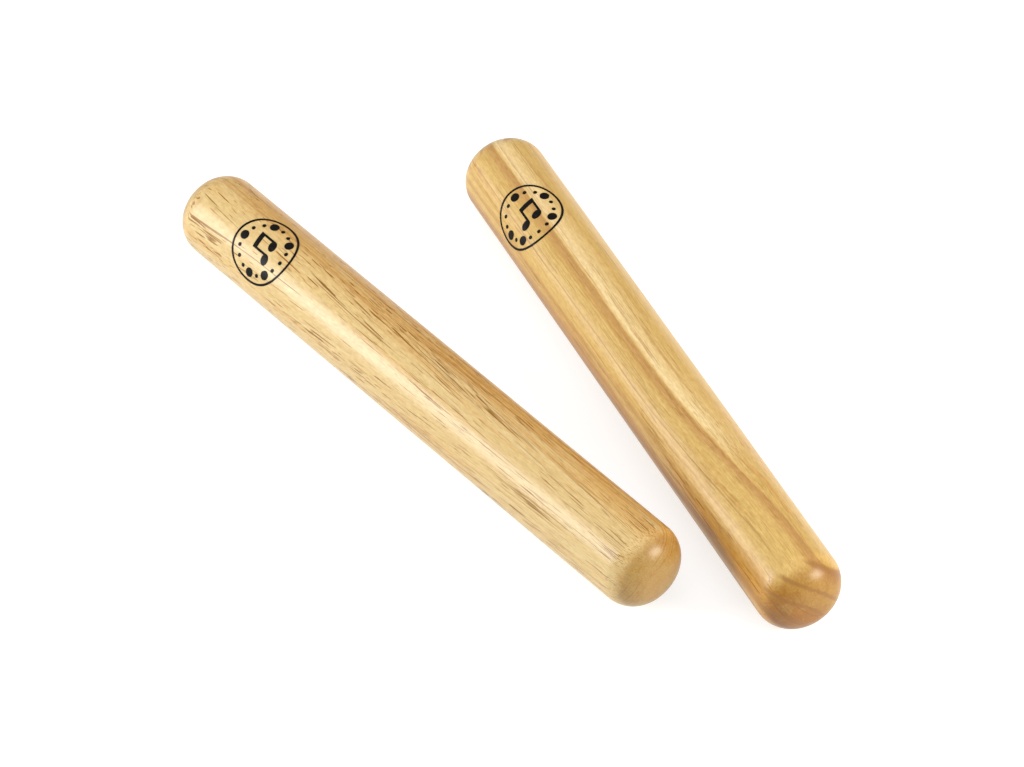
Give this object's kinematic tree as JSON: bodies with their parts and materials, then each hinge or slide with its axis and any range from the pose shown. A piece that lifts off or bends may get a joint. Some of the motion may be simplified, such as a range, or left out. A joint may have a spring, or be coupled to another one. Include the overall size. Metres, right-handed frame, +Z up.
{
  "type": "pair of claves",
  "caption": "Turned hardwood percussion sticks with rounded ends, lying side by side on a table, one held and one struck against it.",
  "frame": {"origin": "on the table, under the middle of the box round both claves", "axes": "+X along the holding clave, towards the end nearer the player; +Y from the holding clave to the striking clave; +Z up"},
  "size_m": [0.2344, 0.0982, 0.025],
  "materials": {
    "lacquered_wood": "pale rubberwood under a clear satin-gloss lacquer",
    "print_ink": "thin black pad-printed ink under the lacquer"
  },
  "bodies": {
    "holding_clave": {"holding_clave": "lacquered_wood"},
    "striking_clave": {"striking_clave": "lacquered_wood"}
  },
  "joints": [
    {"name": "striker_lift", "type": "slide", "parent": "holding_clave", "child": "striking_clave", "axis": [0, 0, 1], "range_m": [0, 0.12]}
  ]
}
